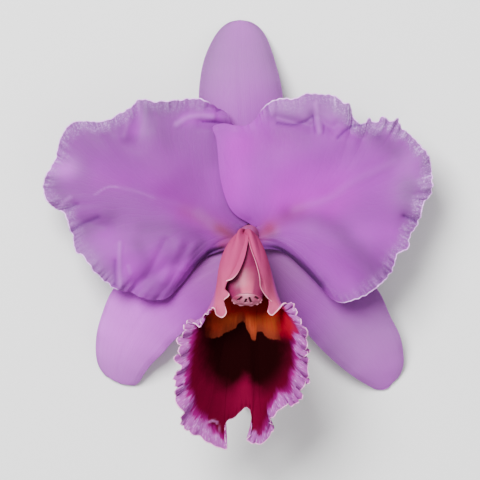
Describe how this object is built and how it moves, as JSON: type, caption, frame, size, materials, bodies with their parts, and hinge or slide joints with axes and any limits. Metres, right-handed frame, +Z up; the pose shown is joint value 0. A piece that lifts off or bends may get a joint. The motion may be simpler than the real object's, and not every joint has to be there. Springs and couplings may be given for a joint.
{
  "type": "cattleya orchid bloom",
  "caption": "Cut cattleya bloom lying face up: recurved sepals, broad waved petals over them, a frilled trumpet lip round the column, and a bent ovary and stalk beneath.",
  "frame": {"origin": "on the surface that the bloom lies on, under the middle of its outline seen from above", "axes": "+Z up, out of the face of the flower; +Y along the dorsal sepal; +X to the right of someone who looks down into the flower"},
  "size_m": [0.1405, 0.1544, 0.0559],
  "materials": {
    "sepal": "satin pale lavender with fine lengthwise veins",
    "petal": "satin lilac-magenta, crystalline sheen, paler waved rim",
    "lip": "velvety, crimson to near-black in the throat, two orange patches, magenta veins, lavender frill and pink side lobes",
    "column": "waxy pink, darker magenta along its sides",
    "anther_cap": "waxy pale pink with darker grooves",
    "pollinia": "smooth wax yellow",
    "stalk": "satin green flushed with mauve, pale fibrous cut end"
  },
  "bodies": {
    "root": {"ovary": "stalk", "dorsal_sepal": "sepal", "left_lateral_sepal": "sepal", "right_lateral_sepal": "sepal", "left_petal": "petal", "right_petal": "petal", "lip": "lip", "column": "column", "anther_cap": "anther_cap", "pollinia": "pollinia"}
  },
  "joints": []
}
